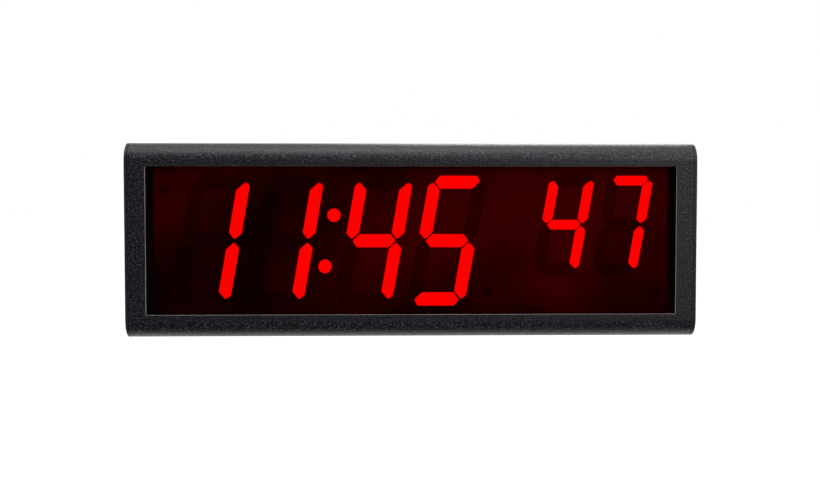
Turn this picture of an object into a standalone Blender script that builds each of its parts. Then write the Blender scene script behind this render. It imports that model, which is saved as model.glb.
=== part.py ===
"""A digital network clock, built as the pieces it comes apart into.

Metres. X runs to the right as the face is seen, Z runs up, and the face looks along -Y. The origin is the
middle of the rear cover's back face, which lies on the wall. A depth is measured from the front face back.
"""

import math

import bmesh
import bpy
from mathutils import Matrix

# The case is sized around the row of digits and the stack of boards, so those sizes drive it
GAP = 0.0003  # between neighbouring pieces
OVERRUN = 0.001  # how far a cutter runs past what it cuts
WELD = 0.000003  # points nearer than this are one
FLAT_ANGLE = math.radians(0.1)  # faces that turn less than this are one
SMOOTH_ANGLE = math.radians(30)  # faces that turn less than this are shaded as one
EDGE_ANGLE = math.radians(40)  # faces that turn less than this get no bevel between them

# Front shell: a wrapped profile with a window, sheet grooves, rear lips and screw channels
SHELL_WALL = 0.002
SHELL_RADIUS = 0.0143
FACE_STRIP = 0.0038  # flat part of the face above and below the window
FACE_END = 0.01575  # from the window's ends to the clock's ends
WINDOW_MARGIN = 0.00655  # from the large digits to the window's upper and lower edges
RIB_THICKNESS = 0.0016
GROOVE_COVER = 0.0025  # how far a groove laps the sheet that slides in it
LIP_THICKNESS = 0.0017
LIP_REACH = 0.0095
CHANNEL_WALL = 0.0012
CHANNEL_NECK = 0.0032
CHANNEL_NECK_LENGTH = 0.0012
CHANNEL_MOUTH = 0.0012
CHANNEL_CLEARANCE = 0.0011  # from a channel to the rib or the screw beside it

# End plates
PLATE_THICKNESS = 0.002
PLATE_EDGE = 0.0005

# Window sheet
LENS_THICKNESS = 0.003
LENS_LAP = 0.0041  # how far the sheet laps the window's upper and lower edges

# Display: mask, light guides and board
DISPLAY_SETBACK = 0.009
DARK_BAND = 0.00465  # from the mask's ends to the window's ends
MASK_MARGIN_LEFT = 0.01253  # from the first digit's lower left corner to the mask's end
MASK_MARGIN_RIGHT = 0.01064  # from the last digit's upper right corner to the mask's end
MASK_THICKNESS = 0.005
WEB_THICKNESS = 0.001
WEB_MARGIN = 0.0015
BOARD_THICKNESS = 0.0016
SEGMENT_FILLET = 0.0009

# Digits
SLANT = math.radians(10)
LARGE_HALF_WIDTH = 0.0227
LARGE_HEIGHT = 0.1017
SMALL_HALF_WIDTH = 0.0178
SMALL_HEIGHT = 0.0767
DIGIT_DROP = 0.0005  # of the large digits' middle below the case's middle
LARGE_SPACE = 0.01175  # between two large digits
COLON_SPACE = 0.024  # between the hours and the minutes
GROUP_SPACE = 0.0513  # between the minutes and the seconds
SMALL_SPACE = 0.0107  # between two small digits
COLON_DOT_RADIUS = 0.0054
COLON_DOT_RISE = 0.02

# Segment outlines, in shares of a digit's half width and half height, for an upright digit
SIDE_BAR_SHARES = ((0.775, 0.026), (0.992, 0.115), (0.985, 0.842), (0.83, 0.897), (0.56, 0.778), (0.56, 0.13))
TOP_BAR_SHARES = ((0.769, 0.911), (0.632, 1.0), (-0.632, 1.0), (-0.769, 0.911), (-0.55, 0.8), (0.55, 0.8))
MIDDLE_BAR_SHARES = ((0.74, 0.0), (0.537, 0.1), (-0.537, 0.1), (-0.74, 0.0), (-0.537, -0.1), (0.537, -0.1))

# Screws: countersunk ones for the covers and the mask, pan heads for the controller board
SCREW_SHANK_RADIUS = 0.0014
SCREW_HEAD_RADIUS = 0.003
SCREW_HEAD_RIM = 0.0002
SCREW_HEAD_CONE = 0.0016
PLATE_SCREW_LENGTH = 0.01
COVER_SCREW_PAST_LIP = 0.0034
COVER_SCREW_INSET = 0.0387  # of the outer cover screws from the cover's ends
PAN_HEAD_RADIUS = 0.0028
PAN_HEAD_HEIGHT = 0.0018
PAN_SCREW_ENGAGEMENT = 0.004
RECESS_SPAN = 0.003
RECESS_WIDTH = 0.0008
RECESS_ROOT = 0.0011  # across the cross's inner corners
RECESS_DEPTH = 0.0009
MASK_SCREW_END_INSET = 0.0076  # of the outer mask screws from the mask's ends
MASK_SCREW_EDGE_INSET = 0.02  # of the mask screws from the groove's edges
MASK_SCREW_SPACE = 0.009  # between the minutes and the mask screw beside them
MASK_SCREW_PAST_BOARD = 0.0015

# Controller board and what it carries
CONTROLLER_WIDTH = 0.17
CONTROLLER_HEIGHT = 0.084
STANDOFF_LENGTH = 0.0072
STANDOFF_RADIUS = 0.0032
STANDOFF_BORE_DEPTH = 0.0052
STANDOFF_INSET = 0.006
JACK_WIDTH = 0.0162
JACK_HEIGHT = 0.0136
JACK_SETBACK = 0.0003
JACK_Z = -0.022
MOUTH_WIDTH = 0.0119
MOUTH_HEIGHT = 0.007
MOUTH_DEPTH = 0.0135
LATCH_WIDTH = 0.0062
LATCH_HEIGHT = 0.0019
SETUP_X = 0.027
RESET_X = 0.043
SWITCH_SIZE = 0.0064
SWITCH_HEIGHT = 0.004
SWITCH_BORE_DEPTH = 0.003
STEM_RADIUS = 0.0016
STEM_ENGAGEMENT = 0.0016
CAP_RADIUS = 0.0022
CAP_LENGTH = 0.0045
CAP_SETBACK = 0.0003
TRANSFORMER_SIZE = 0.014
TRANSFORMER_HEIGHT = 0.011
TRANSFORMER_X = -0.028
TRANSFORMER_EDGE = 0.0008
PROCESSOR_SIZE = 0.014
PROCESSOR_HEIGHT = 0.0014
PROCESSOR_X = 0.008
PROCESSOR_Z = 0.012
CELL_RADIUS = 0.01
CELL_THICKNESS = 0.0032
HOLDER_WALL = 0.0014
HOLDER_FLOOR = 0.0012
HOLDER_HEIGHT = 0.0052
CELL_X = -0.042
CELL_Z = 0.018
CAPACITOR_RADIUS = 0.005
CAPACITOR_HEIGHT = 0.0135
CAPACITOR_EDGE = 0.0006
CAPACITOR_X = 0.05
CAPACITOR_PITCH = 0.013
CAPACITOR_Z = 0.018
LINK_WIDTH = 0.0305
LINK_THICKNESS = 0.0051
LINK_INSET = 0.008  # of the link's middle from the board's upper edge

# Rear cover
COVER_THICKNESS = 0.0016
REAR_SPACE = 0.0195  # between the controller board and the cover
KEYHOLE_X = 0.15
KEYHOLE_DROP = 0.0355  # of the entries' middles from the shell's inner surface
KEYHOLE_RADIUS = 0.005
KEYHOLE_SLOT_WIDTH = 0.0052
KEYHOLE_SLOT_RISE = 0.01
VENT_LENGTH = 0.022
VENT_WIDTH = 0.0026
VENT_PITCH = 0.006
VENT_X = 0.11
VENT_RISE = 0.0435  # of the middle vents from the shell's inner surface
VENTS_PER_GROUP = 5

# Steps of round shapes
ROUND_STEPS = 24
SCREW_STEPS = 12
HEX_SIDES = 6
SHELL_ARC_STEPS = 8
ARC_STEPS = 5
FILLET_STEPS = 1

# The row of digits, worked out from the sizes above
LARGE_PITCH = 2 * LARGE_HALF_WIDTH + LARGE_SPACE
COLON_PITCH = 2 * LARGE_HALF_WIDTH + COLON_SPACE
GROUP_PITCH = LARGE_HALF_WIDTH + GROUP_SPACE + SMALL_HALF_WIDTH
SMALL_PITCH = 2 * SMALL_HALF_WIDTH + SMALL_SPACE
LARGE_REACH = LARGE_HALF_WIDTH + math.tan(SLANT) * LARGE_HEIGHT / 2
SMALL_REACH = SMALL_HALF_WIDTH + math.tan(SLANT) * SMALL_HEIGHT / 2
ROW_PITCHES = 2 * LARGE_PITCH + COLON_PITCH + GROUP_PITCH + SMALL_PITCH
MASK_WIDTH = MASK_MARGIN_LEFT + LARGE_REACH + ROW_PITCHES + SMALL_REACH + MASK_MARGIN_RIGHT
HOUR_TENS_X = MASK_MARGIN_LEFT + LARGE_REACH - MASK_WIDTH / 2
MINUTE_TENS_X = HOUR_TENS_X + LARGE_PITCH + COLON_PITCH
MINUTE_UNITS_X = MINUTE_TENS_X + LARGE_PITCH
SECOND_TENS_X = MINUTE_UNITS_X + GROUP_PITCH
DIGIT_TOP = LARGE_HEIGHT / 2 - DIGIT_DROP

# Widths and heights
WINDOW_WIDTH = MASK_WIDTH + 2 * DARK_BAND
WINDOW_HEIGHT = LARGE_HEIGHT + 2 * WINDOW_MARGIN
LENS_HEIGHT = WINDOW_HEIGHT + 2 * LENS_LAP
WIDTH = WINDOW_WIDTH + 2 * FACE_END
HEIGHT = WINDOW_HEIGHT + 2 * (FACE_STRIP + SHELL_RADIUS)
SHELL_LENGTH = WIDTH - 2 * (PLATE_THICKNESS + GAP)
GROOVE_HALF = LENS_HEIGHT / 2 - GROOVE_COVER
INNER_HALF = HEIGHT / 2 - SHELL_WALL
CHANNEL_HOLE_RADIUS = SCREW_SHANK_RADIUS + GAP
CHANNEL_RADIUS = CHANNEL_HOLE_RADIUS + CHANNEL_WALL
CHANNEL_HEIGHT = INNER_HALF - CHANNEL_NECK_LENGTH - CHANNEL_RADIUS
COVER_SCREW_X = SHELL_LENGTH / 2 - COVER_SCREW_INSET
COVER_SCREW_RISE = INNER_HALF - LIP_REACH / 2
MASK_SCREW_OUTER_X = MASK_WIDTH / 2 - MASK_SCREW_END_INSET
MASK_SCREW_INNER_X = MINUTE_UNITS_X + LARGE_HALF_WIDTH + MASK_SCREW_SPACE
MASK_SCREW_DROP = GROOVE_HALF - MASK_SCREW_EDGE_INSET
LINK_Z = CONTROLLER_HEIGHT / 2 - LINK_INSET
KEYHOLE_Z = INNER_HALF - KEYHOLE_DROP
VENT_Z = VENT_RISE - INNER_HALF

# Depths from the front face
LENS_FRONT = SHELL_WALL + GAP
LENS_BACK = LENS_FRONT + LENS_THICKNESS
MASK_FRONT = DISPLAY_SETBACK
MASK_BACK = MASK_FRONT + MASK_THICKNESS
WEB_FRONT = MASK_BACK + GAP
WEB_BACK = WEB_FRONT + WEB_THICKNESS
BOARD_FRONT = WEB_BACK + GAP
BOARD_BACK = BOARD_FRONT + BOARD_THICKNESS
CONTROLLER_FRONT = BOARD_BACK + 2 * GAP + STANDOFF_LENGTH
CONTROLLER_BACK = CONTROLLER_FRONT + BOARD_THICKNESS
MOUNTED_FROM = CONTROLLER_BACK + GAP
COVER_FRONT = MOUNTED_FROM + REAR_SPACE
DEPTH = COVER_FRONT + COVER_THICKNESS
LIP_BACK = COVER_FRONT - GAP
LIP_FRONT = LIP_BACK - LIP_THICKNESS
FRONT_CHANNEL_DEPTH = BOARD_BACK + GAP + RIB_THICKNESS + CHANNEL_CLEARANCE + CHANNEL_RADIUS
REAR_CHANNEL_DEPTH = LIP_FRONT - COVER_SCREW_PAST_LIP - CHANNEL_CLEARANCE - CHANNEL_RADIUS

# Lengths of screws, from the face that their heads sit on
COVER_SCREW_LENGTH = DEPTH - LIP_FRONT + COVER_SCREW_PAST_LIP
PAN_SCREW_LENGTH = BOARD_THICKNESS + 2 * GAP + PAN_SCREW_ENGAGEMENT
MASK_SCREW_LENGTH = BOARD_BACK - MASK_FRONT + MASK_SCREW_PAST_BOARD

REAR = Matrix.Rotation(-math.pi / 2, 4, "X")
FRONT = Matrix.Rotation(math.pi / 2, 4, "X")
RIGHT = Matrix.Rotation(math.pi / 2, 4, "Y")
LEFT = Matrix.Rotation(-math.pi / 2, 4, "Y")
ALONG_X = Matrix(((0, 0, 1, 0), (1, 0, 0, 0), (0, 1, 0, 0), (0, 0, 0, 1)))

BLACK_COAT = ((0.022, 0.021, 0.026), 0.6, 0.0)
BLACK_PLASTIC = ((0.012, 0.012, 0.013), 0.5, 0.0)
RED_ACRYLIC = ((0.16, 0.004, 0.004), 0.1, 0.0)
RED_DIFFUSER = ((0.9, 0.02, 0.01), 0.4, 0.0)
MASK_GREY = ((0.06, 0.055, 0.055), 0.6, 0.0)
DARK_BOARD = ((0.01, 0.03, 0.015), 0.45, 0.0)
GREEN_BOARD = ((0.02, 0.13, 0.05), 0.4, 0.0)
ZINC_STEEL = ((0.55, 0.55, 0.56), 0.35, 1.0)
NYLON = ((0.75, 0.73, 0.66), 0.5, 0.0)


def clear_scene():
    for thing in list(bpy.data.objects):
        bpy.data.objects.remove(thing)


def new_collection(name):
    collection = bpy.data.collections.new(name)
    bpy.context.scene.collection.children.link(collection)
    return collection


clear_scene()
PARTS = new_collection("digital_network_clock")
CUTTERS = new_collection("cutters")


def at(x, depth, z):
    """The matrix that carries a piece to a place given by its depth behind the front face."""
    return Matrix.Translation((x, depth - DEPTH, z))


# Outlines


def arc(centre, radius, start, end, steps):
    angles = [start + (end - start) * i / steps for i in range(steps + 1)]
    return [(centre[0] + radius * math.cos(a), centre[1] + radius * math.sin(a)) for a in angles]


def circle(centre, radius, steps=ROUND_STEPS):
    return arc(centre, radius, 0, 2 * math.pi, steps)[:-1]


def rectangle(centre, width, height):
    x, y = centre
    w, h = width / 2, height / 2
    return [(x - w, y - h), (x + w, y - h), (x + w, y + h), (x - w, y + h)]


def stadium(centre, length, width):
    """A slot with round ends that runs along the outline's first axis."""
    x, y = centre
    reach = (length - width) / 2
    right = arc((x + reach, y), width / 2, -math.pi / 2, math.pi / 2, ARC_STEPS)
    left = arc((x - reach, y), width / 2, math.pi / 2, 3 * math.pi / 2, ARC_STEPS)
    return right + left


def turn_sense(corners):
    pairs = zip(corners, corners[1:] + corners[:1])
    return math.copysign(1, sum(a[0] * b[1] - b[0] * a[1] for a, b in pairs))


def grown(corners, distance):
    """The outline with each side moved out by a distance."""
    sense = turn_sense(corners)
    count = len(corners)
    result = []
    for i, corner in enumerate(corners):
        before, after = corners[i - 1], corners[(i + 1) % count]
        d1 = unit(before, corner)
        d2 = unit(corner, after)
        n1 = (d1[1] * sense, -d1[0] * sense)
        n2 = (d2[1] * sense, -d2[0] * sense)
        share = distance / (1 + n1[0] * n2[0] + n1[1] * n2[1])
        result.append((corner[0] + (n1[0] + n2[0]) * share, corner[1] + (n1[1] + n2[1]) * share))
    return result


def unit(a, b):
    length = math.dist(a, b)
    return ((b[0] - a[0]) / length, (b[1] - a[1]) / length)


def filleted(corners, radius):
    """The outline with each corner rounded."""
    count = len(corners)
    result = []
    for i, corner in enumerate(corners):
        before, after = corners[i - 1], corners[(i + 1) % count]
        d1 = unit(corner, before)
        d2 = unit(corner, after)
        half = math.acos(max(-1, min(1, d1[0] * d2[0] + d1[1] * d2[1]))) / 2
        setback = radius / math.tan(half)
        reach = radius / math.sin(half)
        middle = unit((0, 0), (d1[0] + d2[0], d1[1] + d2[1]))
        centre = (corner[0] + middle[0] * reach, corner[1] + middle[1] * reach)
        first = (corner[0] + d1[0] * setback, corner[1] + d1[1] * setback)
        last = (corner[0] + d2[0] * setback, corner[1] + d2[1] * setback)
        a1 = math.atan2(first[1] - centre[1], first[0] - centre[0])
        a2 = math.atan2(last[1] - centre[1], last[0] - centre[0])
        sweep = (a2 - a1 + math.pi) % (2 * math.pi) - math.pi
        result += arc(centre, radius, a1, a1 + sweep, FILLET_STEPS)
    return result


# Meshes and objects


def tidy(mesh):
    """Welds a mesh's loose caps, clears the slivers in them, joins its flat faces and turns them all out."""
    bm = bmesh.new()
    bm.from_mesh(mesh)
    bmesh.ops.remove_doubles(bm, verts=bm.verts, dist=WELD)
    flat = [face for face in bm.faces if len(face.verts) == 3]
    inner = [edge for edge in bm.edges if all(len(face.verts) == 3 for face in edge.link_faces)]
    bmesh.ops.beautify_fill(bm, faces=flat, edges=inner)
    bmesh.ops.dissolve_limit(bm, angle_limit=FLAT_ANGLE, verts=bm.verts, edges=bm.edges)
    bmesh.ops.recalc_face_normals(bm, faces=bm.faces)
    bm.to_mesh(mesh)
    bm.free()
    return mesh


def settled(thing):
    """The mesh that an object's modifiers make. The object itself is removed."""
    bpy.context.view_layer.update()
    graph = bpy.context.evaluated_depsgraph_get()
    mesh = bpy.data.meshes.new_from_object(thing.evaluated_get(graph))
    bpy.data.objects.remove(thing)
    return mesh


def extruded(name, outlines, thickness):
    """A flat outline, with any others in it as holes. It stands half its thickness to each side of z = 0."""
    curve = bpy.data.curves.new(name, "CURVE")
    curve.dimensions = "2D"
    curve.fill_mode = "BOTH"
    curve.extrude = thickness / 2
    for outline in outlines:
        spline = curve.splines.new("POLY")
        spline.points.add(len(outline) - 1)
        for point, (x, y) in zip(spline.points, outline):
            point.co = (x, y, 0, 1)
        spline.use_cyclic_u = True
    thing = bpy.data.objects.new(name, curve)
    CUTTERS.objects.link(thing)
    return tidy(settled(thing))


def turned(name, profile, steps=ROUND_STEPS):
    """A turned solid from (radius, height) points that run from the top of the axis down to its foot."""
    mesh = bpy.data.meshes.new(name)
    points = [(radius, 0, height) for radius, height in profile]
    mesh.from_pydata(points, [(i, i + 1) for i in range(len(points) - 1)], [])
    thing = bpy.data.objects.new(name, mesh)
    CUTTERS.objects.link(thing)
    screw = thing.modifiers.new("turn", "SCREW")
    screw.steps = steps
    screw.render_steps = steps
    screw.use_merge_vertices = True
    screw.merge_threshold = WELD
    return tidy(settled(thing))


def block(name, size):
    mesh = bpy.data.meshes.new(name)
    bm = bmesh.new()
    bmesh.ops.create_cube(bm, size=1)
    bmesh.ops.scale(bm, verts=bm.verts, vec=size)
    bm.to_mesh(mesh)
    bm.free()
    return mesh


def gathered(name, mesh, places):
    """One mesh that holds a copy of another at each place."""
    bm = bmesh.new()
    for place in places:
        copy = mesh.copy()
        copy.transform(place)
        bm.from_mesh(copy)
        bpy.data.meshes.remove(copy)
    result = bpy.data.meshes.new(name)
    bm.to_mesh(result)
    bm.free()
    return result


def finish(name, look):
    colour, roughness, metallic = look
    material = bpy.data.materials.new(name)
    material.use_nodes = True
    shader = material.node_tree.nodes["Principled BSDF"]
    shader.inputs["Base Color"].default_value = (*colour, 1)
    shader.inputs["Roughness"].default_value = roughness
    shader.inputs["Metallic"].default_value = metallic
    material.diffuse_color = (*colour, 1)
    return material


def part(name, mesh, place, look, smooth=False):
    """A named piece with its own material, slotted on the object so that copies may share a mesh."""
    if smooth:
        mesh.shade_smooth()
        mesh.set_sharp_from_angle(angle=SMOOTH_ANGLE)
    thing = bpy.data.objects.new(name, mesh)
    PARTS.objects.link(thing)
    if not mesh.materials:
        mesh.materials.append(None)
    thing.material_slots[0].link = "OBJECT"
    thing.material_slots[0].material = finish(name, look)
    thing.matrix_world = place
    return thing


def cutter(name, mesh, place=None):
    thing = bpy.data.objects.new(name, mesh)
    CUTTERS.objects.link(thing)
    thing.hide_render = True
    thing.display_type = "WIRE"
    if place:
        thing.matrix_world = place
    return thing


def combine(thing, tool, operation):
    modifier = thing.modifiers.new(tool.name, "BOOLEAN")
    modifier.operation = operation
    modifier.solver = "EXACT"
    modifier.object = tool


def bevelled(thing, width, segments=1):
    modifier = thing.modifiers.new("edge", "BEVEL")
    modifier.width = width
    modifier.segments = segments
    modifier.limit_method = "ANGLE"
    modifier.angle_limit = EDGE_ANGLE


# Front shell


def inner_wall(depth):
    """The height of the shell's inner surface above the middle, at a depth."""
    if depth >= SHELL_RADIUS:
        return INNER_HALF
    radius = SHELL_RADIUS - SHELL_WALL
    return HEIGHT / 2 - SHELL_RADIUS + math.sqrt(radius**2 - (SHELL_RADIUS - depth) ** 2)


def rib(front, tip):
    """A rib on the upper wall, from its rear side to its front side."""
    back = front + RIB_THICKNESS
    return [(back, inner_wall(back)), (back, tip), (front, tip), (front, inner_wall(front))]


def screw_channel(depth):
    """A C-shaped screw channel on a neck under the upper wall, from its rear side to its front side."""
    centre = (depth, CHANNEL_HEIGHT)
    outer = CHANNEL_RADIUS
    neck = CHANNEL_NECK / 2
    top = math.acos(neck / outer)
    outer_mouth = math.asin(CHANNEL_MOUTH / 2 / outer)
    inner_mouth = math.asin(CHANNEL_MOUTH / 2 / CHANNEL_HOLE_RADIUS)
    foot = -math.pi / 2
    rear_side = arc(centre, outer, top, foot + outer_mouth, ARC_STEPS)
    hole_turn = (foot + inner_mouth, foot - inner_mouth + 2 * math.pi)
    hole = arc(centre, CHANNEL_HOLE_RADIUS, *hole_turn, 2 * ARC_STEPS)
    front_side = arc(centre, outer, foot - outer_mouth, -math.pi - top, ARC_STEPS)
    start = (depth + neck, inner_wall(depth + neck))
    end = (depth - neck, inner_wall(depth - neck))
    return [start] + rear_side + hole + front_side + [end]


def shell_profile():
    """The shell's section, with depth along the first axis and height along the second."""
    bend_centre = (SHELL_RADIUS, HEIGHT / 2 - SHELL_RADIUS)
    outer_bend = arc(bend_centre, SHELL_RADIUS, math.pi, math.pi / 2, SHELL_ARC_STEPS)
    lens_rib = LENS_BACK + GAP
    front_rib = BOARD_FRONT - GAP - RIB_THICKNESS
    rear_rib = BOARD_BACK + GAP
    lip_tip = INNER_HALF - LIP_REACH
    upper = outer_bend + [(DEPTH, HEIGHT / 2), (DEPTH, INNER_HALF), (LIP_BACK, INNER_HALF)]
    upper += [(LIP_BACK, lip_tip), (LIP_FRONT, lip_tip), (LIP_FRONT, INNER_HALF)]
    upper += screw_channel(REAR_CHANNEL_DEPTH)
    upper += screw_channel(FRONT_CHANNEL_DEPTH)
    upper += rib(rear_rib, GROOVE_HALF)
    upper += rib(front_rib, GROOVE_HALF)
    upper += rib(lens_rib, GROOVE_HALF)
    radius = SHELL_RADIUS - SHELL_WALL
    bend_start = math.acos((lens_rib - SHELL_RADIUS) / radius)
    inner_bend = arc(bend_centre, radius, bend_start, math.pi, SHELL_ARC_STEPS // 2)
    upper += inner_bend[1:]
    lower = [(depth, -height) for depth, height in reversed(upper)]
    return upper + lower


def cover_screw_places():
    return [
        at(x, DEPTH, z)
        for z in (COVER_SCREW_RISE, -COVER_SCREW_RISE)
        for x in (-COVER_SCREW_X, 0, COVER_SCREW_X)
    ]


def front_shell():
    shell = part("front_shell", extruded("front_shell", [shell_profile()], SHELL_LENGTH),
                 Matrix.Translation((0, -DEPTH, 0)) @ ALONG_X, BLACK_COAT, smooth=True)
    window = block("window", (WINDOW_WIDTH, SHELL_WALL + 2 * OVERRUN, WINDOW_HEIGHT))
    combine(shell, cutter("window_cutter", window, at(0, SHELL_WALL / 2, 0)), "DIFFERENCE")
    drill = shank_drill("lip_drill", LIP_FRONT - OVERRUN, LIP_BACK + OVERRUN)
    holes = gathered("lip_holes", drill, [place @ REAR for place in cover_screw_places()])
    combine(shell, cutter("lip_hole_cutter", holes), "DIFFERENCE")
    return shell


def shank_drill(name, front, back):
    """A drill for a screw's shank between two depths, for a place on the back face, pointing rearward."""
    radius = SCREW_SHANK_RADIUS + GAP
    profile = [(0, back - DEPTH), (radius, back - DEPTH), (radius, front - DEPTH), (0, front - DEPTH)]
    return turned(name, profile, SCREW_STEPS)


# Screws


def countersunk_profile(length, growth=0, cap=0):
    """A countersunk screw with its face at height 0. Growth makes it the cutter for its own hole."""
    head = SCREW_HEAD_RADIUS + growth
    shank = SCREW_SHANK_RADIUS + growth
    rim = -SCREW_HEAD_RIM - growth / 2
    neck = rim - SCREW_HEAD_CONE
    return [(0, cap), (head, cap), (head, rim), (shank, neck), (shank, -length), (0, -length)]


def recess(name, top):
    """The cross-shaped driver recess of a screw whose face is at a height."""
    arm = RECESS_SPAN / 2
    half = RECESS_WIDTH / 2
    root = RECESS_ROOT / 2
    quarter = [(half, arm), (-half, arm), (-root, root)]
    cross = quarter + [(-y, x) for x, y in quarter]
    cross += [(-x, -y) for x, y in cross]
    mesh = extruded(name, [cross], RECESS_DEPTH * 2)
    mesh.transform(Matrix.Translation((0, 0, top)))
    return cutter(name, mesh)


def screw_mesh(name, profile, top):
    thing = bpy.data.objects.new(name, turned(name, profile, SCREW_STEPS))
    CUTTERS.objects.link(thing)
    tool = recess(name + "_recess", top)
    combine(thing, tool, "DIFFERENCE")
    mesh = tidy(settled(thing))
    bpy.data.objects.remove(tool)
    return mesh


def countersunk_screw(name, length):
    return screw_mesh(name, countersunk_profile(length), 0)


def countersink_drill(name, length):
    return turned(name, countersunk_profile(length, GAP, OVERRUN), SCREW_STEPS)


# End plates


def plate_outline():
    top = HEIGHT / 2
    bend = arc((SHELL_RADIUS, top - SHELL_RADIUS), SHELL_RADIUS, math.pi, math.pi / 2, SHELL_ARC_STEPS)
    upper = bend + [(DEPTH, top)]
    return upper + [(depth, -height) for depth, height in reversed(upper)]


def plate_screw_places(side):
    turn = RIGHT if side > 0 else LEFT
    depths = (FRONT_CHANNEL_DEPTH, REAR_CHANNEL_DEPTH)
    return [at(side * WIDTH / 2, d, z) @ turn for z in (CHANNEL_HEIGHT, -CHANNEL_HEIGHT) for d in depths]


def end_plates():
    screw = countersunk_screw("plate_screw", PLATE_SCREW_LENGTH)
    drill = countersink_drill("plate_drill", PLATE_THICKNESS + OVERRUN)
    for side, word in ((-1, "left"), (1, "right")):
        middle = side * (WIDTH - PLATE_THICKNESS) / 2
        place = Matrix.Translation((middle, -DEPTH, 0)) @ ALONG_X
        mesh = extruded(f"end_plate_{word}", [plate_outline()], PLATE_THICKNESS)
        plate = part(f"end_plate_{word}", mesh, place, BLACK_COAT)
        bevelled(plate, PLATE_EDGE)
        holes = gathered(f"plate_holes_{word}", drill, plate_screw_places(side))
        combine(plate, cutter(f"plate_hole_cutter_{word}", holes), "DIFFERENCE")
        for number, place in enumerate(plate_screw_places(side), 1):
            part(f"end_plate_screw_{word}_{number}", screw, place, BLACK_PLASTIC)


# Window and display


def lens():
    mesh = extruded("lens", [rectangle((0, 0), SHELL_LENGTH, LENS_HEIGHT)], LENS_THICKNESS)
    part("lens", mesh, at(0, (LENS_FRONT + LENS_BACK) / 2, 0) @ FRONT, RED_ACRYLIC)


def slanted(points, centre):
    lean = math.tan(SLANT)
    return [(centre[0] + x + y * lean, centre[1] + y) for x, y in points]


def segment_corners(centre, half_width, half_height):
    """The seven segments of a digit, each as a list of corners."""
    shapes = [TOP_BAR_SHARES, [(x, -y) for x, y in TOP_BAR_SHARES], MIDDLE_BAR_SHARES]
    for sx in (1, -1):
        for sy in (1, -1):
            shapes.append([(sx * x, sy * y) for x, y in SIDE_BAR_SHARES])
    return [slanted([(x * half_width, y * half_height) for x, y in shape], centre) for shape in shapes]


def digits():
    """Name, centre, half width and half height of each digit."""
    large = [
        ("hour_tens", HOUR_TENS_X),
        ("hour_units", HOUR_TENS_X + LARGE_PITCH),
        ("minute_tens", MINUTE_TENS_X),
        ("minute_units", MINUTE_UNITS_X),
    ]
    small = [("second_tens", SECOND_TENS_X), ("second_units", SECOND_TENS_X + SMALL_PITCH)]
    sizes = ((large, LARGE_HALF_WIDTH, LARGE_HEIGHT), (small, SMALL_HALF_WIDTH, SMALL_HEIGHT))
    result = []
    for names, half_width, height in sizes:
        for name, x in names:
            result.append((name, (x, DIGIT_TOP - height / 2), half_width, height / 2))
    return result


def colon_centre():
    return (MINUTE_TENS_X - COLON_PITCH / 2, -DIGIT_DROP)


def colon_dots():
    return slanted([(0, COLON_DOT_RISE), (0, -COLON_DOT_RISE)], colon_centre())


def mask_screw_places():
    spots = [
        (-MASK_SCREW_OUTER_X, MASK_SCREW_DROP),
        (-MASK_SCREW_OUTER_X, -MASK_SCREW_DROP),
        (MASK_SCREW_INNER_X, -MASK_SCREW_DROP),
        (MASK_SCREW_OUTER_X, -MASK_SCREW_DROP),
    ]
    return [at(x, MASK_FRONT, z) @ FRONT for x, z in spots]


def display_mask():
    outlines = [rectangle((0, 0), MASK_WIDTH, 2 * (GROOVE_HALF - GAP))]
    for _, centre, half_width, half_height in digits():
        for corners in segment_corners(centre, half_width, half_height):
            outlines.append(filleted(grown(corners, GAP), SEGMENT_FILLET + GAP))
    outlines += [circle(dot, COLON_DOT_RADIUS + GAP) for dot in colon_dots()]
    mesh = extruded("display_mask", outlines, MASK_THICKNESS)
    mask = part("display_mask", mesh, at(0, (MASK_FRONT + MASK_BACK) / 2, 0) @ FRONT, MASK_GREY)
    drill = countersink_drill("mask_drill", MASK_THICKNESS + OVERRUN)
    holes = gathered("mask_holes", drill, mask_screw_places())
    combine(mask, cutter("mask_hole_cutter", holes), "DIFFERENCE")


def light_guide(name, web, bars):
    """Bars that stand on a thin web. Their faces lie just behind the mask's face."""
    face = MASK_FRONT + GAP
    root = WEB_FRONT + WEB_THICKNESS / 2
    guide = part(name, extruded(name, [web], WEB_THICKNESS), at(0, (WEB_FRONT + WEB_BACK) / 2, 0) @ FRONT,
                 RED_DIFFUSER)
    mesh = extruded(name + "_bars", bars, root - face)
    combine(guide, cutter(name + "_bars", mesh, at(0, (face + root) / 2, 0) @ FRONT), "UNION")


def web_outline(centre, half_width, half_height):
    w, h = half_width + WEB_MARGIN, half_height + WEB_MARGIN
    return slanted([(-w, -h), (w, -h), (w, h), (-w, h)], centre)


def light_guides():
    for name, centre, half_width, half_height in digits():
        corners = segment_corners(centre, half_width, half_height)
        bars = [filleted(corner_list, SEGMENT_FILLET) for corner_list in corners]
        light_guide(f"{name}_segments", web_outline(centre, half_width, half_height), bars)
    web = web_outline(colon_centre(), COLON_DOT_RADIUS, COLON_DOT_RISE + COLON_DOT_RADIUS)
    light_guide("colon_dots", web, [circle(dot, COLON_DOT_RADIUS) for dot in colon_dots()])


def display_board():
    outlines = [rectangle((0, 0), SHELL_LENGTH, LENS_HEIGHT)]
    spots = [place.translation for place in mask_screw_places()]
    outlines += [circle((spot.x, spot.z), SCREW_SHANK_RADIUS + GAP, SCREW_STEPS) for spot in spots]
    mesh = extruded("display_board", outlines, BOARD_THICKNESS)
    part("display_board", mesh, at(0, (BOARD_FRONT + BOARD_BACK) / 2, 0) @ FRONT, DARK_BOARD)
    screw = countersunk_screw("mask_screw", MASK_SCREW_LENGTH)
    for number, place in enumerate(mask_screw_places(), 1):
        part(f"mask_screw_{number}", screw, place, BLACK_PLASTIC)


# Controller board


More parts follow.
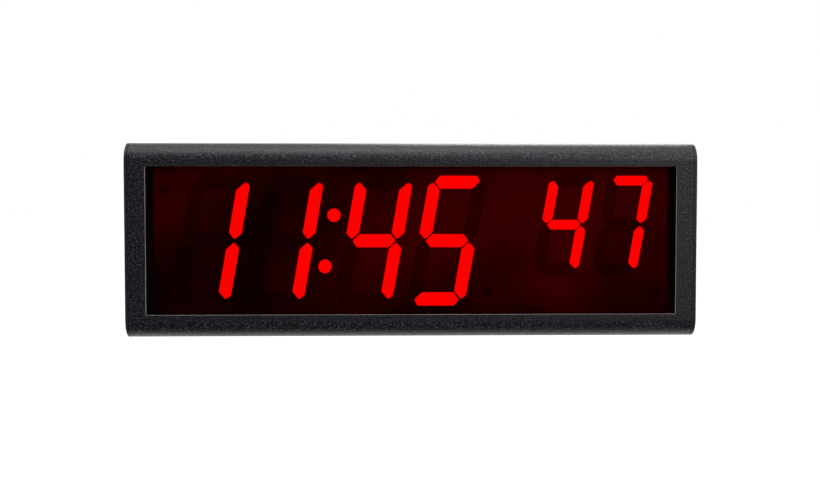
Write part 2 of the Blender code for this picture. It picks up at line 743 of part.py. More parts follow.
def standoff_spots():
    x = CONTROLLER_WIDTH / 2 - STANDOFF_INSET
    z = CONTROLLER_HEIGHT / 2 - STANDOFF_INSET
    return [(-x, z), (x, z), (-x, -z), (x, -z)]


def controller_board():
    outlines = [rectangle((0, 0), CONTROLLER_WIDTH, CONTROLLER_HEIGHT)]
    outlines += [circle(spot, SCREW_SHANK_RADIUS + GAP, SCREW_STEPS) for spot in standoff_spots()]
    mesh = extruded("controller_board", outlines, BOARD_THICKNESS)
    part("controller_board", mesh, at(0, (CONTROLLER_FRONT + CONTROLLER_BACK) / 2, 0) @ FRONT, GREEN_BOARD)


def standoffs():
    bore = SCREW_SHANK_RADIUS + GAP
    top, foot = 0, -STANDOFF_LENGTH
    floor = -STANDOFF_BORE_DEPTH
    profile = [(0, floor), (bore, floor), (bore, top), (STANDOFF_RADIUS, top), (STANDOFF_RADIUS, foot),
               (0, foot)]
    post = turned("board_standoff", profile, HEX_SIDES)
    face = MOUNTED_FROM + PAN_HEAD_HEIGHT
    tip = -PAN_HEAD_HEIGHT - PAN_SCREW_LENGTH
    pan = [(0, 0), (PAN_HEAD_RADIUS - PAN_HEAD_HEIGHT / 3, 0), (PAN_HEAD_RADIUS, -PAN_HEAD_HEIGHT / 2),
           (PAN_HEAD_RADIUS, -PAN_HEAD_HEIGHT), (SCREW_SHANK_RADIUS, -PAN_HEAD_HEIGHT),
           (SCREW_SHANK_RADIUS, tip), (0, tip)]
    screw = screw_mesh("board_screw", pan, 0)
    for number, (x, z) in enumerate(standoff_spots(), 1):
        part(f"board_standoff_{number}", post, at(x, CONTROLLER_FRONT - GAP, z) @ REAR, NYLON)
        part(f"board_screw_{number}", screw, at(x, face, z) @ REAR, ZINC_STEEL)


def mounted_block(name, x, z, width, height, tall, look):
    """A block that stands on the controller board's rear side."""
    return part(name, block(name, (width, tall, height)), at(x, MOUNTED_FROM + tall / 2, z), look)


def network_jack():
    back = DEPTH - JACK_SETBACK
    jack = mounted_block("network_jack", 0, JACK_Z, JACK_WIDTH, JACK_HEIGHT, back - MOUNTED_FROM, ZINC_STEEL)
    w, h, t = MOUTH_WIDTH / 2, MOUTH_HEIGHT / 2, LATCH_WIDTH / 2
    latch = h + LATCH_HEIGHT
    shape = [(-w, -h), (w, -h), (w, h), (t, h), (t, latch), (-t, latch), (-t, h), (-w, h)]
    length = MOUTH_DEPTH + OVERRUN
    mouth = extruded("mouth", [shape], length)
    place = at(0, back - MOUTH_DEPTH + length / 2, JACK_Z) @ FRONT
    combine(jack, cutter("mouth_cutter", mouth, place), "DIFFERENCE")


def button(name, x):
    """A sprung cap whose stem stands in the bore of its switch body, on the switch's axis."""
    body = mounted_block(f"{name}_switch_body", x, JACK_Z, SWITCH_SIZE, SWITCH_SIZE, SWITCH_HEIGHT,
                         BLACK_PLASTIC)
    radius = STEM_RADIUS + GAP
    bore = [(0, OVERRUN), (radius, OVERRUN), (radius, -SWITCH_BORE_DEPTH), (0, -SWITCH_BORE_DEPTH)]
    top = MOUNTED_FROM + SWITCH_HEIGHT
    drill = turned(f"{name}_bore", bore, SCREW_STEPS)
    combine(body, cutter(f"{name}_bore_cutter", drill, at(x, top, JACK_Z) @ REAR), "DIFFERENCE")
    reach = DEPTH - CAP_SETBACK - top + STEM_ENGAGEMENT
    profile = [(0, 0), (CAP_RADIUS, 0), (CAP_RADIUS, -CAP_LENGTH), (STEM_RADIUS, -CAP_LENGTH),
               (STEM_RADIUS, -reach), (0, -reach)]
    cap = turned(f"{name}_button_cap", profile, SCREW_STEPS)
    part(f"{name}_button_cap", cap, at(x, DEPTH - CAP_SETBACK, JACK_Z) @ REAR, NYLON, smooth=True)


def mounted_parts():
    transformer = mounted_block("poe_transformer", TRANSFORMER_X, JACK_Z, TRANSFORMER_SIZE,
                                TRANSFORMER_SIZE, TRANSFORMER_HEIGHT, BLACK_PLASTIC)
    bevelled(transformer, TRANSFORMER_EDGE)
    mounted_block("processor", PROCESSOR_X, PROCESSOR_Z, PROCESSOR_SIZE, PROCESSOR_SIZE, PROCESSOR_HEIGHT,
                  BLACK_PLASTIC)
    inner = CELL_RADIUS + GAP
    outer = inner + HOLDER_WALL
    cup = [(0, HOLDER_FLOOR), (inner, HOLDER_FLOOR), (inner, HOLDER_HEIGHT), (outer, HOLDER_HEIGHT),
           (outer, 0), (0, 0)]
    holder = at(CELL_X, MOUNTED_FROM, CELL_Z) @ REAR
    part("coin_cell_holder", turned("coin_cell_holder", cup), holder, BLACK_PLASTIC, smooth=True)
    low = HOLDER_FLOOR + GAP
    high = low + CELL_THICKNESS
    disc = [(0, high), (CELL_RADIUS, high), (CELL_RADIUS, low), (0, low)]
    part("coin_cell", turned("coin_cell", disc), holder, ZINC_STEEL, smooth=True)
    can = [(0, CAPACITOR_HEIGHT), (CAPACITOR_RADIUS - CAPACITOR_EDGE, CAPACITOR_HEIGHT),
           (CAPACITOR_RADIUS, CAPACITOR_HEIGHT - CAPACITOR_EDGE), (CAPACITOR_RADIUS, 0), (0, 0)]
    mesh = turned("bulk_capacitor", can, SCREW_STEPS)
    for number in (1, 2):
        place = at(CAPACITOR_X + (number - 1) * CAPACITOR_PITCH, MOUNTED_FROM, CAPACITOR_Z) @ REAR
        part(f"bulk_capacitor_{number}", mesh, place, BLACK_PLASTIC, smooth=True)
    link = block("board_link_header", (LINK_WIDTH, STANDOFF_LENGTH, LINK_THICKNESS))
    middle = (BOARD_BACK + CONTROLLER_FRONT) / 2
    part("board_link_header", link, at(0, middle, LINK_Z), BLACK_PLASTIC)


# Rear cover


def keyhole(x):
    """A round entry with a slot above it, as one outline."""
    half = KEYHOLE_SLOT_WIDTH / 2
    start = math.acos(half / KEYHOLE_RADIUS)
    entry = arc((x, KEYHOLE_Z), KEYHOLE_RADIUS, math.pi - start, 2 * math.pi + start, 2 * ARC_STEPS)
    slot = arc((x, KEYHOLE_Z + KEYHOLE_SLOT_RISE), half, 0, math.pi, ARC_STEPS)
    return entry + slot


def rear_cover():
    outlines = [rectangle((0, 0), SHELL_LENGTH, 2 * (INNER_HALF - GAP))]
    outlines.append(rectangle((0, JACK_Z), JACK_WIDTH + 2 * GAP, JACK_HEIGHT + 2 * GAP))
    outlines += [circle((x, JACK_Z), CAP_RADIUS + GAP, SCREW_STEPS) for x in (SETUP_X, RESET_X)]
    outlines += [keyhole(x) for x in (-KEYHOLE_X, KEYHOLE_X)]
    lowest = VENT_Z - (VENTS_PER_GROUP - 1) / 2 * VENT_PITCH
    for x in (-VENT_X, VENT_X):
        for row in range(VENTS_PER_GROUP):
            outlines.append(stadium((x, lowest + row * VENT_PITCH), VENT_LENGTH, VENT_WIDTH))
    mesh = extruded("rear_cover", outlines, COVER_THICKNESS)
    cover = part("rear_cover", mesh, at(0, (COVER_FRONT + DEPTH) / 2, 0) @ FRONT, BLACK_COAT)
    drill = countersink_drill("cover_drill", COVER_THICKNESS + 2 * GAP)
    places = [place @ REAR for place in cover_screw_places()]
    combine(cover, cutter("cover_hole_cutter", gathered("cover_holes", drill, places)), "DIFFERENCE")
    screw = countersunk_screw("cover_screw", COVER_SCREW_LENGTH)
    for number, place in enumerate(places, 1):
        part(f"rear_cover_screw_{number}", screw, place, ZINC_STEEL)


front_shell()
end_plates()
lens()
display_mask()
light_guides()
display_board()
controller_board()
standoffs()
network_jack()
button("setup", SETUP_X)
button("reset", RESET_X)
mounted_parts()
rear_cover()
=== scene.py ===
"""The looks of a digital network clock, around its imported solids.

Metres. X runs to the right as the face is seen and Z runs up. The face looks along -Y, and the
wall is at y = 0.
"""

import math

import bmesh
import bpy
from mathutils import Matrix, Vector


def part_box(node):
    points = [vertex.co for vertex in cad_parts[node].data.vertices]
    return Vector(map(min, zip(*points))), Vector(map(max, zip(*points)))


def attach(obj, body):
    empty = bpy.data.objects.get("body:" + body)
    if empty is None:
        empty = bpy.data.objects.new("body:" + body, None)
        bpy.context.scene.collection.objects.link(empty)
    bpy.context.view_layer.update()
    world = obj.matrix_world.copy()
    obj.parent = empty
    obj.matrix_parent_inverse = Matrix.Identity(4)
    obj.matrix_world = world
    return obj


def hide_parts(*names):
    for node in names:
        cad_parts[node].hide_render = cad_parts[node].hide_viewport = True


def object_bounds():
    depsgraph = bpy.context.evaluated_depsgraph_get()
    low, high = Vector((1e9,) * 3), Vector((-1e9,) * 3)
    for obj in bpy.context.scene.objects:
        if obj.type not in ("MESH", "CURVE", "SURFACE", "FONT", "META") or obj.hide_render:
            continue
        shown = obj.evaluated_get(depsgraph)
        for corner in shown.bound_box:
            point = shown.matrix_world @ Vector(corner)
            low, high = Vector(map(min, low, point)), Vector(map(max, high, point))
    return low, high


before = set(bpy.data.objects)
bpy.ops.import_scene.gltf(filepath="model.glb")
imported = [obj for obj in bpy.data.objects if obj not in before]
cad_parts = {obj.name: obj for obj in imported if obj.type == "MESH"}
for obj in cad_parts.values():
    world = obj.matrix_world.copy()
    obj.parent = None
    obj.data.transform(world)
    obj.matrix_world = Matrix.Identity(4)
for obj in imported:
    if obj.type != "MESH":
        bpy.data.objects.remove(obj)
CAD_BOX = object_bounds()

# Sizes that the pieces here share with the solids
GAP = 0.0003
OVERRUN = 0.001
WELD = 0.000003
FLAT_ANGLE = math.radians(0.1)
LEAN_LIMIT = 0.1
SMOOTH_ANGLE = math.radians(35)
EDGE_ANGLE = math.radians(42)
SHELL_WALL = 0.002
SHELL_RADIUS = 0.0143
FACE_STRIP = 0.0038
FACE_END = 0.01575
RIB_THICKNESS = 0.0016
GROOVE_COVER = 0.0025
LIP_THICKNESS = 0.0017
LIP_REACH = 0.0095
CHANNEL_RADIUS = 0.0029
CHANNEL_HOLE_RADIUS = 0.0017
CHANNEL_NECK = 0.0032
CHANNEL_MOUTH = 0.0012
SCREW_SHANK_RADIUS = 0.0014
SCREW_HEAD_RADIUS = 0.003
SCREW_HEAD_RIM = 0.0002
SCREW_HEAD_CONE = 0.0016
WEB_MARGIN = 0.0015
WEB_THICKNESS = 0.001
SEGMENT_FILLET = 0.0009
SLANT = math.radians(10)
COLON_DOT_RADIUS = 0.0054
COLON_DOT_RISE = 0.02
CAP_RADIUS = 0.0022
STEM_RADIUS = 0.0016
CAP_LENGTH = 0.0045
MOUTH_WIDTH = 0.0119
MOUTH_HEIGHT = 0.007
MOUTH_DEPTH = 0.0135
LATCH_WIDTH = 0.0062
LATCH_HEIGHT = 0.0019
KEYHOLE_X = 0.15
KEYHOLE_DROP = 0.0355
KEYHOLE_RADIUS = 0.005
KEYHOLE_SLOT_WIDTH = 0.0052
KEYHOLE_SLOT_RISE = 0.01
VENT_LENGTH = 0.022
VENT_WIDTH = 0.0026
VENT_PITCH = 0.006
VENT_X = 0.11
VENT_RISE = 0.0435
VENTS_PER_GROUP = 5

# Sizes that only the shown pieces have
BAR_TRIM = 0.00015
RECESS_SPAN = 0.0031
RECESS_WIDTH = 0.0008
RECESS_ROOT = 0.0012
RECESS_DEPTH = 0.0011
RECESS_TAPER = 0.55
CAP_EDGE = CAP_RADIUS / 8
CAP_DISH = CAP_RADIUS / 10
DISH_BEND_RADIUS = CAP_RADIUS * 0.5
DISH_BEND_DEPTH = CAP_DISH * 0.7
SHIELD_WALL = 0.0006
INSERT_SETBACK = 0.0004
CONTACT_COUNT = 8
CONTACT_PITCH = 0.00102
CONTACT_RADIUS = 0.0002
CONTACT_BENDS = ((0.0015, 0.0003), (0.0026, 0.0005), (0.0085, 0.0026), (0.0112, 0.0031))
LAMP_WIDTH = 0.0026
LAMP_HEIGHT = 0.0022
LAMP_INSET = 0.0001

# How far each screw of a set is turned from the one before, in radians
PLATE_SCREW_TURN = 0.9
COVER_SCREW_TURN = 0.7
MASK_SCREW_TURN = 1.1

# Segment outlines, in shares of a digit's half width and half height, for an upright digit
SIDE_BAR_SHARES = (
    (0.775, 0.026), (0.992, 0.115), (0.985, 0.842), (0.83, 0.897), (0.56, 0.778), (0.56, 0.13),
)
TOP_BAR_SHARES = (
    (0.769, 0.911), (0.632, 1.0), (-0.632, 1.0), (-0.769, 0.911), (-0.55, 0.8), (0.55, 0.8),
)
MIDDLE_BAR_SHARES = (
    (0.74, 0.0), (0.537, 0.1), (-0.537, 0.1), (-0.74, 0.0), (-0.537, -0.1), (0.537, -0.1),
)

# The order in which segment_corners gives a digit's segments, and those that are lit
SEGMENT_ORDER = "adgbcfe"
LIT = {
    "hour_tens": "bc",
    "hour_units": "bc",
    "minute_tens": "bcfg",
    "minute_units": "acdfg",
    "second_tens": "bcfg",
    "second_units": "abc",
}

# Steps of round shapes
ROUND_STEPS = 48
SCREW_STEPS = 32
BEND_STEPS = 24
ARC_STEPS = 12
FILLET_STEPS = 4
CONTACT_STEPS = 2

# Small rounded edges
SHEET_EDGE = 0.0002
PLATE_EDGE = 0.00025
MOULDED_EDGE = 0.00015

# Places that the frame gives
DEPTH = -CAD_BOX[0].y
HEIGHT = CAD_BOX[1].z - CAD_BOX[0].z
WIDTH = CAD_BOX[1].x - CAD_BOX[0].x
SHELL_LOW, SHELL_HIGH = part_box("front_shell")
LENS_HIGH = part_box("lens")[1]
MASK_LOW, MASK_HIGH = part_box("display_mask")
BOARD_LOW, BOARD_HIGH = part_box("display_board")
COVER_LOW, COVER_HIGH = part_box("rear_cover")
JACK_LOW, JACK_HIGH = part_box("network_jack")
SHELL_LENGTH = SHELL_HIGH.x - SHELL_LOW.x
INNER_HALF = HEIGHT / 2 - SHELL_WALL
WINDOW_WIDTH = WIDTH - 2 * FACE_END
WINDOW_HEIGHT = HEIGHT - 2 * (FACE_STRIP + SHELL_RADIUS)
GROOVE_HALF = LENS_HIGH.z - GROOVE_COVER
LENS_BACK = LENS_HIGH.y + DEPTH
MASK_FRONT = MASK_LOW.y + DEPTH
MASK_BACK = MASK_HIGH.y + DEPTH
BOARD_FRONT = BOARD_LOW.y + DEPTH
BOARD_BACK = BOARD_HIGH.y + DEPTH
COVER_FRONT = COVER_LOW.y + DEPTH
LIP_BACK = COVER_FRONT - GAP
LIP_FRONT = LIP_BACK - LIP_THICKNESS

# The camera of the photograph, fitted to the case's outline and the digits
CAMERA_PLACE = (-0.0235, -0.848, 0.0313)
CAMERA_YAW = 0.0269
CAMERA_PITCH = -0.0385
CAMERA_LENS = 45.55

REAR = Matrix.Rotation(-math.pi / 2, 4, "X")
FRONT = Matrix.Rotation(math.pi / 2, 4, "X")
RIGHT = Matrix.Rotation(math.pi / 2, 4, "Y")
LEFT = Matrix.Rotation(-math.pi / 2, 4, "Y")
ALONG_X = Matrix(((0, 0, 1, 0), (1, 0, 0, 0), (0, 1, 0, 0), (0, 0, 0, 1)))


def facing(depth):
    """The matrix that stands a flat piece up, with its middle at a depth behind the front face."""
    return Matrix.Translation((0, depth - DEPTH, 0)) @ FRONT


def middle_of(node):
    low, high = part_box(node)
    return (low + high) / 2


def size_of(node):
    return [high - low for low, high in zip(*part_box(node))]


PLATE_THICKNESS = size_of("end_plate_left")[0]


# Outlines


def arc(centre, radius, start, end, steps):
    angles = [start + (end - start) * i / steps for i in range(steps + 1)]
    return [(centre[0] + radius * math.cos(a), centre[1] + radius * math.sin(a)) for a in angles]


def circle(centre, radius, steps=ROUND_STEPS):
    return arc(centre, radius, 0, 2 * math.pi, steps)[:-1]


def rectangle(centre, width, height):
    x, y = centre
    w, h = width / 2, height / 2
    return [(x - w, y - h), (x + w, y - h), (x + w, y + h), (x - w, y + h)]


def stadium(centre, length, width):
    """A slot with round ends that runs along the outline's first axis."""
    x, y = centre
    reach = (length - width) / 2
    right = arc((x + reach, y), width / 2, -math.pi / 2, math.pi / 2, ARC_STEPS)
    left = arc((x - reach, y), width / 2, math.pi / 2, 3 * math.pi / 2, ARC_STEPS)
    return right + left


def unit(a, b):
    length = math.dist(a, b)
    return ((b[0] - a[0]) / length, (b[1] - a[1]) / length)


def turn_sense(corners):
    pairs = zip(corners, corners[1:] + corners[:1])
    return math.copysign(1, sum(a[0] * b[1] - b[0] * a[1] for a, b in pairs))


def grown(corners, distance):
    """The outline with each side moved out by a distance."""
    sense = turn_sense(corners)
    count = len(corners)
    result = []
    for i, corner in enumerate(corners):
        d1 = unit(corners[i - 1], corner)
        d2 = unit(corner, corners[(i + 1) % count])
        n1 = (d1[1] * sense, -d1[0] * sense)
        n2 = (d2[1] * sense, -d2[0] * sense)
        share = distance / (1 + n1[0] * n2[0] + n1[1] * n2[1])
        result.append((corner[0] + (n1[0] + n2[0]) * share, corner[1] + (n1[1] + n2[1]) * share))
    return result


def filleted(corners, radius):
    """The outline with each corner rounded."""
    count = len(corners)
    result = []
    for i, corner in enumerate(corners):
        d1 = unit(corner, corners[i - 1])
        d2 = unit(corner, corners[(i + 1) % count])
        half = math.acos(max(-1, min(1, d1[0] * d2[0] + d1[1] * d2[1]))) / 2
        setback = radius / math.tan(half)
        reach = radius / math.sin(half)
        middle = unit((0, 0), (d1[0] + d2[0], d1[1] + d2[1]))
        centre = (corner[0] + middle[0] * reach, corner[1] + middle[1] * reach)
        first = (corner[0] + d1[0] * setback, corner[1] + d1[1] * setback)
        last = (corner[0] + d2[0] * setback, corner[1] + d2[1] * setback)
        a1 = math.atan2(first[1] - centre[1], first[0] - centre[0])
        a2 = math.atan2(last[1] - centre[1], last[0] - centre[0])
        sweep = (a2 - a1 + math.pi) % (2 * math.pi) - math.pi
        result += arc(centre, radius, a1, a1 + sweep, FILLET_STEPS)
    return result


def slanted(points, centre):
    lean = math.tan(SLANT)
    return [(centre[0] + x + y * lean, centre[1] + y) for x, y in points]


# Meshes


def tidy(mesh):
    """Welds a mesh's loose caps, clears slivers, joins its flat faces and turns them all out."""
    bm = bmesh.new()
    bm.from_mesh(mesh)
    bmesh.ops.remove_doubles(bm, verts=bm.verts, dist=WELD)
    flat = [face for face in bm.faces if len(face.verts) == 3]
    inner = [edge for edge in bm.edges if all(len(face.verts) == 3 for face in edge.link_faces)]
    bmesh.ops.beautify_fill(bm, faces=flat, edges=inner)
    bmesh.ops.dissolve_limit(bm, angle_limit=FLAT_ANGLE, verts=bm.verts, edges=bm.edges)
    bmesh.ops.recalc_face_normals(bm, faces=bm.faces)
    bm.to_mesh(mesh)
    bm.free()
    return mesh


def settled(thing):
    """The mesh that an object's modifiers make. The object itself is removed."""
    bpy.context.view_layer.update()
    graph = bpy.context.evaluated_depsgraph_get()
    mesh = bpy.data.meshes.new_from_object(thing.evaluated_get(graph))
    bpy.data.objects.remove(thing)
    return mesh


def linked(name, data):
    thing = bpy.data.objects.new(name, data)
    bpy.context.scene.collection.objects.link(thing)
    return thing


def extruded(name, outlines, thickness):
    """A flat outline with any others as holes in it, half its thickness to each side of z = 0."""
    curve = bpy.data.curves.new(name, "CURVE")
    curve.dimensions = "2D"
    curve.fill_mode = "BOTH"
    curve.extrude = thickness / 2
    for outline in outlines:
        spline = curve.splines.new("POLY")
        spline.points.add(len(outline) - 1)
        for point, (x, y) in zip(spline.points, outline):
            point.co = (x, y, 0, 1)
        spline.use_cyclic_u = True
    return tidy(settled(linked(name, curve)))


def turned(name, profile, steps=ROUND_STEPS):
    """A turned solid from (radius, height) points, from the top of its axis down to its foot."""
    mesh = bpy.data.meshes.new(name)
    points = [(radius, 0, height) for radius, height in profile]
    mesh.from_pydata(points, [(i, i + 1) for i in range(len(points) - 1)], [])
    thing = linked(name, mesh)
    screw = thing.modifiers.new("turn", "SCREW")
    screw.steps = steps
    screw.render_steps = steps
    screw.use_merge_vertices = True
    screw.merge_threshold = WELD
    return tidy(settled(thing))


def block(name, low, high):
    mesh = bpy.data.meshes.new(name)
    bm = bmesh.new()
    bmesh.ops.create_cube(bm, size=1)
    low, high = Vector(low), Vector(high)
    bmesh.ops.scale(bm, verts=bm.verts, vec=high - low)
    bmesh.ops.translate(bm, verts=bm.verts, vec=(low + high) / 2)
    bm.to_mesh(mesh)
    bm.free()
    return mesh


def gathered(name, meshes):
    """One mesh made of several, each given as a mesh, its place and its material's number."""
    bm = bmesh.new()
    for mesh, place, number in meshes:
        copy = mesh.copy()
        copy.transform(place)
        before = len(bm.faces)
        bm.from_mesh(copy)
        bm.faces.ensure_lookup_table()
        for face in bm.faces[before:]:
            face.material_index = number
        bpy.data.meshes.remove(copy)
    result = bpy.data.meshes.new(name)
    bm.to_mesh(result)
    bm.free()
    return result


def cut(mesh, tools):
    """The mesh with some others cut out of it."""
    thing = linked(mesh.name, mesh)
    cutters = [linked(tool.name, tool) for tool in tools]
    for cutter in cutters:
        modifier = thing.modifiers.new(cutter.name, "BOOLEAN")
        modifier.operation = "DIFFERENCE"
        modifier.solver = "EXACT"
        modifier.object = cutter
    result = tidy(settled(thing))
    for cutter in cutters:
        bpy.data.objects.remove(cutter)
    return result


def drilled(mesh, drill, places, others=()):
    """The mesh with a drill's hole at each place, and with any other shapes cut out too."""
    holes = gathered("holes", [(drill, place, 0) for place in places])
    return cut(mesh, [*others, holes])


def piece(name, mesh, looks, place=None, body="clock", replaces=(), edge=0.0, segments=2,
          edge_look=-1):
    """A shown piece that rides on a body. Its edges can be rounded, with a look of their own."""
    if place:
        mesh = mesh.copy()
        mesh.transform(place)
    mesh.name = name
    for look in looks:
        mesh.materials.append(look)
    mesh.shade_smooth()
    mesh.set_sharp_from_angle(angle=SMOOTH_ANGLE)
    thing = linked(name, mesh)
    if edge:
        bevel = thing.modifiers.new("edge", "BEVEL")
        bevel.width = edge
        bevel.segments = segments
        bevel.limit_method = "ANGLE"
        bevel.angle_limit = EDGE_ANGLE
        bevel.use_clamp_overlap = True
        bevel.material = edge_look
    normals = thing.modifiers.new("normals", "WEIGHTED_NORMAL")
    normals.keep_sharp = True
    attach(thing, body)
    if replaces:
        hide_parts(*replaces)


# Materials


class Look:
    """A material whose Principled shader takes plain values and patterns."""

    def __init__(self, name, colour, roughness, metallic=0.0, specular=0.5, alpha=1.0):
        self.material = bpy.data.materials.new(name)
        self.material.use_nodes = True
        self.tree = self.material.node_tree
        self.shader = self.tree.nodes["Principled BSDF"]
        self.material.diffuse_color = (*colour, 1)
        self.set("Base Color", (*colour, 1))
        self.set("Roughness", roughness)
        self.set("Metallic", metallic)
        self.set("Specular IOR Level", specular)
        self.set("Alpha", alpha)
        self.place = self.node("ShaderNodeTexCoord").outputs["Object"]

    def set(self, socket, value):
        self.shader.inputs[socket].default_value = value

    def node(self, kind, **settings):
        node = self.tree.nodes.new(kind)
        for key, value in settings.items():
            setattr(node, key, value)
        return node

    def link(self, output, target):
        self.tree.links.new(output, target)

    def noise(self, scale, detail=2.0, roughness=0.5, stretch=(1, 1, 1)):
        """A noise pattern, whose scale is in grains to the metre."""
        place = self.place
        if stretch != (1, 1, 1):
            mapping = self.node("ShaderNodeMapping")
            mapping.inputs["Scale"].default_value = stretch
            self.link(place, mapping.inputs["Vector"])
            place = mapping.outputs["Vector"]
        noise = self.node("ShaderNodeTexNoise")
        noise.inputs["Scale"].default_value = scale
        noise.inputs["Detail"].default_value = detail
        noise.inputs["Roughness"].default_value = roughness
        self.link(place, noise.inputs["Vector"])
        return noise.outputs["Fac"]

    def ramp(self, value, stops):
        """Colours that follow a pattern's value."""
        ramp = self.node("ShaderNodeValToRGB")
        elements = ramp.color_ramp.elements
        while len(elements) < len(stops):
            elements.new(0.5)
        for element, (position, colour) in zip(elements, stops):
            element.position = position
            element.color = (*colour, 1)
        self.link(value, ramp.inputs["Fac"])
        return ramp.outputs["Color"]

    def spread(self, value, low, high, to_low, to_high):
        spread = self.node("ShaderNodeMapRange")
        sockets = ("From Min", "From Max", "To Min", "To Max")
        for socket, number in zip(sockets, (low, high, to_low, to_high)):
            spread.inputs[socket].default_value = number
        self.link(value, spread.inputs["Value"])
        return spread.outputs["Result"]

    def paint(self, output, socket="Base Color"):
        self.link(output, self.shader.inputs[socket])

    def bump(self, value, strength, distance):
        bump = self.node("ShaderNodeBump")
        bump.inputs["Strength"].default_value = strength
        bump.inputs["Distance"].default_value = distance
        self.link(value, bump.inputs["Height"])
        self.link(bump.outputs["Normal"], self.shader.inputs["Normal"])


def textured_coat():
    look = Look("textured_coat", (0.016, 0.0155, 0.019), 0.4, specular=0.35)
    grain = look.noise(1000, 1.0, 0.5)
    # The coat's colour follows its grain, and its lightest specks, glint, are painted glints
    dark, grey, glint = (0.0035, 0.0033, 0.005), (0.0085, 0.0082, 0.0125), (0.085, 0.083, 0.098)
    look.paint(look.ramp(grain, [(0.42, dark), (0.57, grey), (0.74, glint)]))
    look.paint(look.spread(look.noise(500), 0.3, 0.7, 0.36, 0.48), "Roughness")
    look.bump(grain, 0.8, 0.0004)
    return look.material


def smooth_coat():
    look = Look("smooth_coat", (0.01, 0.01, 0.012), 0.45, specular=0.35)
    grain = look.noise(2500, 2.0)
    look.paint(look.ramp(grain, [(0.4, (0.01, 0.01, 0.012)), (0.65, (0.018, 0.018, 0.022))]))
    look.bump(grain, 0.15, 0.0001)
    return look.material


def deep_screw():
    """The mask's screws, with the red glow painted on them, dimmed. The red sheet lets no other colour
    through.
    """
    look = Look("deep_screw", (0.02, 0.0, 0.0), 0.8, specular=0.0)
    look.paint(painted_glow(look, DEEP_SCREW_SHARE))
    look.bump(look.noise(900), 0.1, 0.00005)
    return look.material


def cut_metal():
    """The shell's bare metal, where the window is cut through it."""
    look = Look("cut_metal", (0.45, 0.44, 0.45), 0.45)
    marks = look.noise(300, 2.0, 0.5, (1, 12, 1))
    look.paint(look.ramp(marks, [(0.35, (0.3, 0.29, 0.3)), (0.65, (0.6, 0.58, 0.6))]))
    look.bump(marks, 0.2, 0.0001)
    return look.material


def red_sheet():
    """The window's clear red sheet."""
    look = Look("red_sheet", (0.004, 0.0, 0.0), 0.05, alpha=0.35, specular=0.25)
    look.paint(look.spread(look.noise(35), 0.3, 0.7, 0.03, 0.07), "Roughness")
    return look.material


def lit_guide():
    look = Look("lit_guide", (0.8, 0.0, 0.0), 0.7, specular=0.0)
    look.set("Emission Color", (1, 0, 0, 1))
    look.set("Emission Strength", LIT_STRENGTH)
    milk = look.noise(700, 2.0)
    look.paint(look.ramp(milk, [(0.3, (0.75, 0.0, 0.0)), (0.7, (0.85, 0.0, 0.0))]))
    return look.material


def painted_glow(look, share):
    """Painted red glow in cloudy patches, darkest at the lower left, dimmed to a share of their
    colours.
    """
    place = look.node("ShaderNodeSeparateXYZ")
    look.link(look.place, place.inputs["Vector"])
    across = look.spread(place.outputs["X"], *GLOW_SLOPE_X)
    up = look.spread(place.outputs["Z"], *GLOW_SLOPE_Z)
    total = look.noise(*GLOW_GRAIN)
    for slope in (across, up):
        plus = look.node("ShaderNodeMath", operation="ADD")
        look.link(total, plus.inputs[0])
        look.link(slope, plus.inputs[1])
        total = plus.outputs["Value"]
    return look.ramp(total, [(stop, (red * share, 0.0, 0.0)) for stop, red in GLOW_REDS])


def unlit_guide():
    look = Look("unlit_guide", (0.05, 0.0, 0.0), 0.7, specular=0.0)
    # The unlit bars show the painted red glow, dimmed to a share
    look.paint(painted_glow(look, UNLIT_SHARE))
    look.bump(look.noise(700), 0.1, 0.0001)
    return look.material


def mask_face():
    """The mask's dark face, with cloudy patches of painted red glow."""
    look = Look("mask_face", (0.08, 0.0, 0.0), 0.9, specular=0.0)
    look.paint(painted_glow(look, 1.0))
    look.bump(look.noise(3000, 2.0), 0.2, 0.0001)
    return look.material


def metal(name, dark, light, roughness, scale=400, stretch=(1, 1, 1)):
    look = Look(name, light, roughness, 1.0)
    marks = look.noise(scale, 3.0, 0.6, stretch)
    look.paint(look.ramp(marks, [(0.3, dark), (0.7, light)]))
    look.paint(look.spread(marks, 0.3, 0.7, roughness * 0.8, roughness * 1.2), "Roughness")
    look.bump(marks, 0.12, 0.00005)
    return look.material


def plastic(name, dark, light, roughness, scale=900):
    look = Look(name, light, roughness)
    grain = look.noise(scale, 2.0)
    look.paint(look.ramp(grain, [(0.35, dark), (0.65, light)]))
    look.bump(grain, 0.12, 0.00008)
    return look.material


def circuit_board(name, mask, track):
    """A board's varnish, with faint tracks under it."""
    look = Look(name, mask, 0.35)
    tracks = look.node("ShaderNodeTexBrick", offset=0.37, squash=0.7)
    tracks.inputs["Scale"].default_value = 90
    tracks.inputs["Mortar Size"].default_value = 0.06
    tracks.inputs["Color1"].default_value = (*mask, 1)
    tracks.inputs["Color2"].default_value = (*mask, 1)
    tracks.inputs["Mortar"].default_value = (*track, 1)
    turn = look.node("ShaderNodeMapping")
    turn.inputs["Rotation"].default_value = (math.pi / 2, 0, 0)
    look.link(look.place, turn.inputs["Vector"])
    look.link(turn.outputs["Vector"], tracks.inputs["Vector"])
    look.paint(tracks.outputs["Color"])
    look.bump(tracks.outputs["Fac"], 0.2, 0.00005)
    return look.material


# The window's glow: the lit bars' own light, and a red glow painted on the mask, the unlit bars and the
# mask's screws
LIT_STRENGTH = 2.45
UNLIT_SHARE = 0.6
DEEP_SCREW_SHARE = 0.5
# The painted glow's grain, its slopes across and up, and its reds
GLOW_GRAIN = (11, 1.5, 0.5)
GLOW_SLOPE_X = (-0.2, 0.2, -0.06, 0.08)
GLOW_SLOPE_Z = (-0.06, 0.06, -0.09, 0.09)
GLOW_REDS = ((0.3, 0.012), (0.45, 0.06), (0.58, 0.13), (0.75, 0.17))

